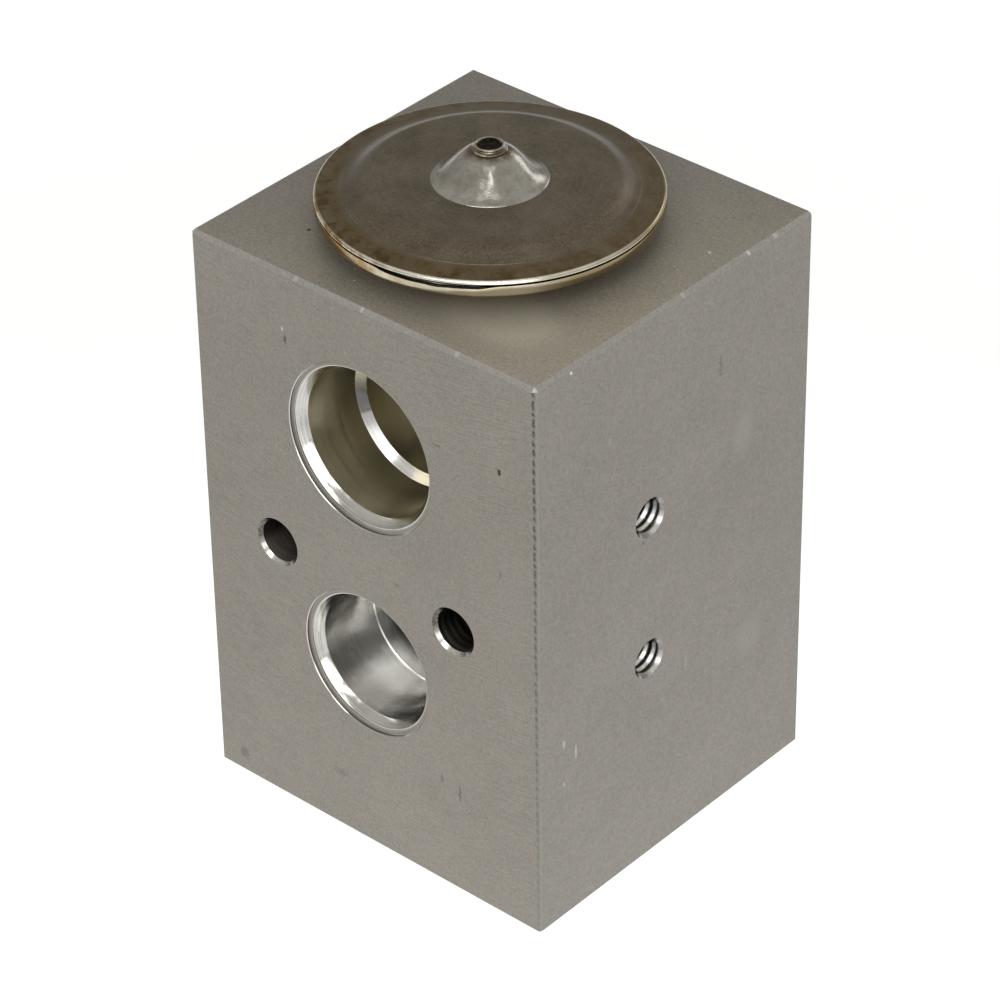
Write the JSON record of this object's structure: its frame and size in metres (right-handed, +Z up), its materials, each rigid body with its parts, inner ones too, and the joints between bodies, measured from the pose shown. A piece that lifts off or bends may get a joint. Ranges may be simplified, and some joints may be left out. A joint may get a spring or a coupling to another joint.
{
  "type": "block expansion valve",
  "caption": "Machined block with suction and liquid passages, a diaphragm head on top that feels the suction gas, a ball valve inside and an adjusting screw underneath.",
  "frame": {"origin": "middle of the block's bottom face, on the surface that it stands on", "axes": "+Z up the block to the diaphragm head, -Y out of the two evaporator ports, +Y out of the two line ports, +X out of the face with the side screw holes"},
  "size_m": [0.0518, 0.0486, 0.0866],
  "materials": {
    "block_aluminium": "fine milled, satin",
    "cap_steel": "heat-tinted stainless sheet",
    "rim_steel": "straw-tinted stainless sheet",
    "plain_steel": "turned stainless steel",
    "stub_steel": "dark cut end",
    "solder": "flowed solder",
    "rod_aluminium": "turned",
    "brass": "turned",
    "ball_steel": "polished",
    "spring_steel": "drawn wire",
    "seal_rubber": "moulded"
  },
  "bodies": {
    "valve_body": {"valve_block": "block_aluminium", "upper_cap": "cap_steel", "lower_cap": "rim_steel", "threaded_neck": "plain_steel", "diaphragm": "plain_steel", "charge_stub": "stub_steel", "solder_seal": "solder", "head_o_ring": "seal_rubber", "rod_o_ring": "seal_rubber", "rod_seal_retainer": "plain_steel", "valve_seat": "brass"},
    "valve_train": {"diaphragm_pad": "brass", "sensing_rod": "rod_aluminium", "push_rod": "plain_steel", "valve_ball": "ball_steel", "ball_carrier": "brass", "damping_spring": "spring_steel"},
    "adjuster_ring": {"adjuster_o_ring": "seal_rubber", "superheat_spring": "spring_steel"},
    "adjuster": {"adjusting_screw": "brass"}
  },
  "joints": [
    {"name": "valve_opening", "type": "slide", "parent": "valve_body", "child": "valve_train", "axis": [0, 0, -1], "range_m": [0, 0.0008], "stiffness_N_per_m": 2000, "springref_m": -0.004, "deforming": ["superheat_spring", "diaphragm"]},
    {"name": "adjuster_travel", "type": "slide", "parent": "valve_body", "child": "adjuster_ring", "axis": [0, 0, 1], "range_m": [-0.001, 0.001], "deforming": ["superheat_spring"]},
    {"name": "adjuster_turn", "type": "hinge", "parent": "adjuster_ring", "child": "adjuster", "pos_m": [-0.0005, -0.0014, 0.0016], "axis": [0, 0, 1], "range_deg": [-360, 360]}
  ],
  "couplings": [
    {"joint": "adjuster_travel", "follows": "adjuster_turn", "m_per_rad": 0.00015915}
  ]
}
